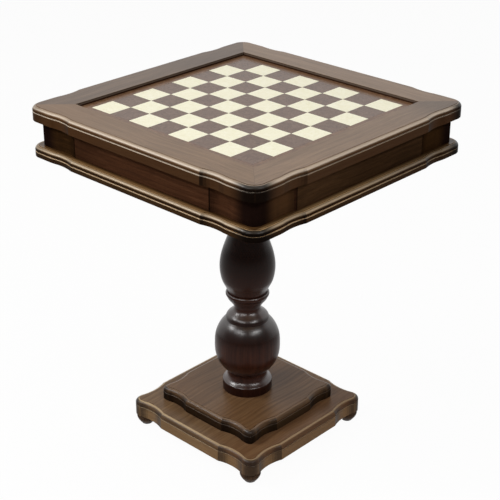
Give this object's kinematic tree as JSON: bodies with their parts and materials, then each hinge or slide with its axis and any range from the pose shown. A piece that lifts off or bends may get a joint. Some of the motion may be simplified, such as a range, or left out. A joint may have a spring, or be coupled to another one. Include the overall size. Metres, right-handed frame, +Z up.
{
  "type": "chess table",
  "caption": "Square pedestal chess table: inlaid chequered board in a moulded frame, shallow box with hidden drawers, turned column and stepped base on bun feet.",
  "frame": {"origin": "on the floor, under the middle of the table", "axes": "+Z up; X and Y along the sides; a drawer opens towards -Y (front) and one towards +Y (back)"},
  "size_m": [0.581, 0.581, 0.695],
  "materials": {
    "frame_walnut": "satin stained walnut",
    "apron_walnut": "satin stained walnut",
    "base_walnut": "satin stained walnut",
    "column_wood": "satin espresso stain",
    "maple_veneer": "polished maple veneer",
    "burl_veneer": "polished burl veneer",
    "border_veneer": "polished walnut veneer",
    "inner_wood": "bare beech",
    "plywood": "bare plywood",
    "steel": "zinc plated",
    "felt": "felt"
  },
  "bodies": {
    "table": {"apron_left": "apron_walnut", "apron_right": "apron_walnut", "base_lower_step": "base_walnut", "base_screws": "steel", "base_upper_step": "base_walnut", "board_border": "border_veneer", "board_core": "plywood", "bottom_panel": "plywood", "column": "column_wood", "dark_squares": "burl_veneer", "drawer_guide_left": "inner_wood", "drawer_guide_right": "inner_wood", "drawer_stop_bar": "inner_wood", "foot_back_left": "base_walnut", "foot_back_right": "base_walnut", "foot_front_left": "base_walnut", "foot_front_right": "base_walnut", "foot_pads": "felt", "light_squares": "maple_veneer", "lower_rail_back": "frame_walnut", "lower_rail_front": "frame_walnut", "lower_rail_left": "frame_walnut", "lower_rail_right": "frame_walnut", "mounting_plate": "plywood", "mounting_screws": "steel", "post_back_left": "apron_walnut", "post_back_right": "apron_walnut", "post_dowels": "inner_wood", "post_front_left": "apron_walnut", "post_front_right": "apron_walnut", "tie_rod": "steel", "tie_rod_nuts": "steel", "tie_rod_washers": "steel", "top_mitre_splines": "inner_wood", "top_rail_back": "frame_walnut", "top_rail_front": "frame_walnut", "top_rail_left": "frame_walnut", "top_rail_right": "frame_walnut"},
    "front_drawer": {"front_drawer_front": "apron_walnut", "front_drawer_side_right": "inner_wood", "front_drawer_side_left": "inner_wood", "front_drawer_back": "inner_wood", "front_drawer_bottom": "plywood"},
    "back_drawer": {"back_drawer_front": "apron_walnut", "back_drawer_side_right": "inner_wood", "back_drawer_side_left": "inner_wood", "back_drawer_back": "inner_wood", "back_drawer_bottom": "plywood"}
  },
  "joints": [
    {"name": "front_drawer_slide", "type": "slide", "parent": "table", "child": "front_drawer", "axis": [0, -1, 0], "range_m": [0, 0.17]},
    {"name": "back_drawer_slide", "type": "slide", "parent": "table", "child": "back_drawer", "axis": [0, 1, 0], "range_m": [0, 0.17]}
  ]
}
